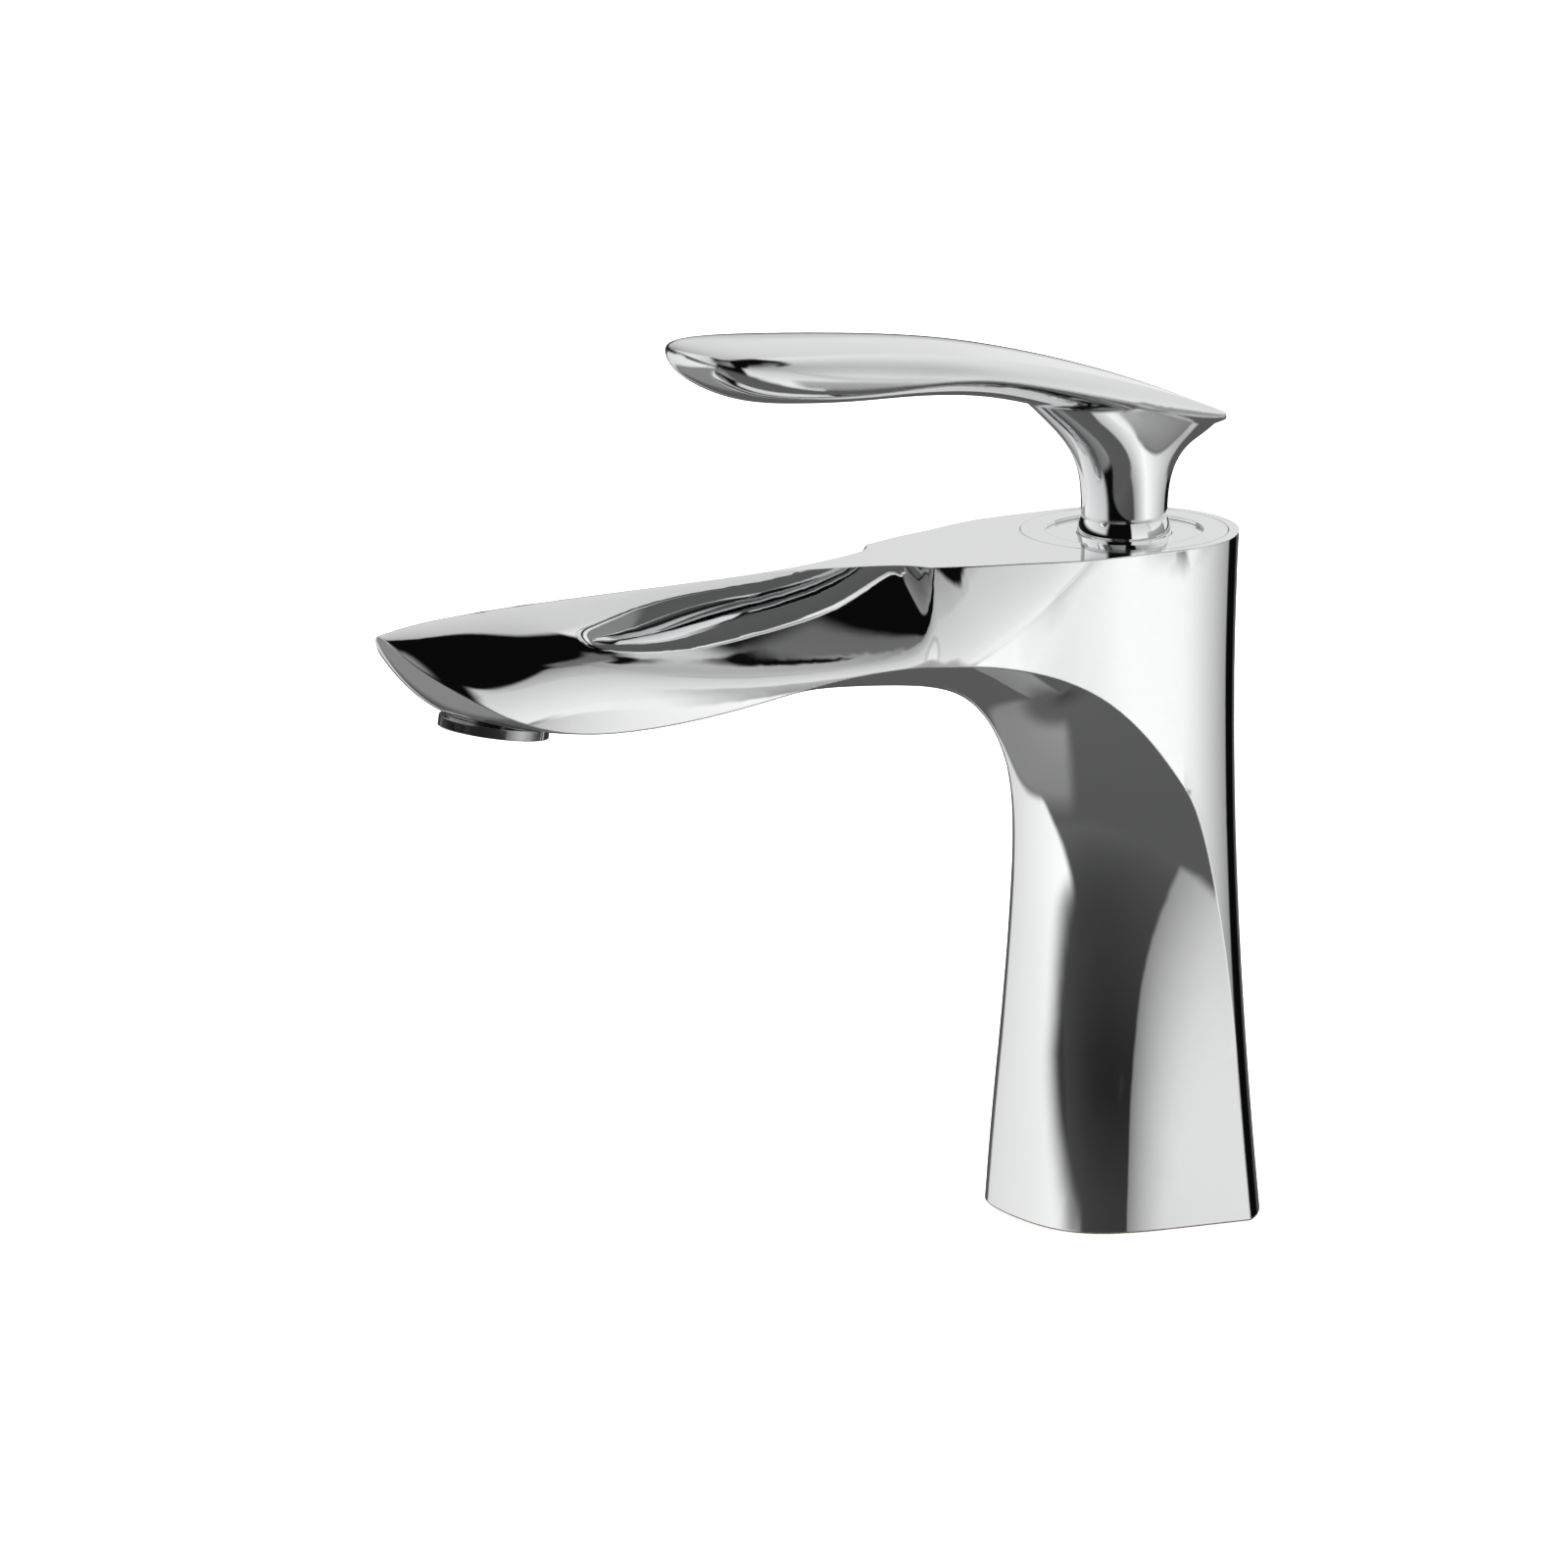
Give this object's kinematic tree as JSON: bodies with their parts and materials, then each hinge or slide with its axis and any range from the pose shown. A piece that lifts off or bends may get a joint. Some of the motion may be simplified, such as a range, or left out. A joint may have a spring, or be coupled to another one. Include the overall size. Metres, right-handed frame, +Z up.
{
  "type": "single-lever basin mixer tap",
  "caption": "Deck-mounted chrome basin mixer with a leaf-shaped lever over an arched spout; the lever lifts for flow and turns for temperature.",
  "frame": {"origin": "on the column's axis in the plane of the deck face", "axes": "+Z up along the column's axis, -Y forward along the spout, +X across; the lever is at rest, closed and straight ahead"},
  "size_m": [0.0506, 0.1852, 0.176],
  "materials": {
    "chrome": "polished",
    "brass": "machined",
    "steel": "drawn",
    "white_plastic": "moulded",
    "grey_plastic": "moulded",
    "ceramic": "lapped",
    "rubber": "moulded",
    "plug_plastic": "metallised"
  },
  "bodies": {
    "body": {"body_shell": "chrome", "base_seal": "rubber", "cartridge_base": "white_plastic", "port_seals": "rubber", "cartridge_housing": "white_plastic", "housing_seal": "rubber", "disc_gasket": "rubber", "fixed_disc": "ceramic", "retaining_nut": "brass", "glide_ring": "white_plastic", "trim_ring": "chrome", "aerator_housing": "chrome", "aerator_core": "white_plastic", "aerator_screen": "steel", "aerator_seal": "rubber"},
    "turning_part": {"rotor": "grey_plastic", "pivot_pin": "steel", "limiter_ring": "grey_plastic"},
    "lever": {"spindle": "brass", "lever_collar": "chrome", "lever_handle": "chrome", "lever_screw": "steel", "screw_plug": "plug_plastic"},
    "cover": {"cover_disc": "chrome"},
    "valve_slide": {"moving_disc": "ceramic", "disc_carrier": "grey_plastic"}
  },
  "joints": [
    {"name": "temperature_turn", "type": "hinge", "parent": "body", "child": "turning_part", "pos_m": [0, 0, 0.121], "axis": [0, 0, 1], "range_deg": [-45, 45]},
    {"name": "lever_lift", "type": "hinge", "parent": "turning_part", "child": "lever", "pos_m": [0, 0, 0.121], "axis": [-1, 0, 0], "range_deg": [0, 18]},
    {"name": "cover_slide", "type": "slide", "parent": "turning_part", "child": "cover", "axis": [0, 1, 0], "range_m": [0, 0.0028]},
    {"name": "disc_slide", "type": "slide", "parent": "turning_part", "child": "valve_slide", "axis": [0, -1, 0], "range_m": [0, 0.0065]}
  ],
  "couplings": [
    {"joint": "cover_slide", "follows": "lever_lift", "m_per_rad": 0.008625},
    {"joint": "disc_slide", "follows": "lever_lift", "m_per_rad": 0.02028}
  ]
}
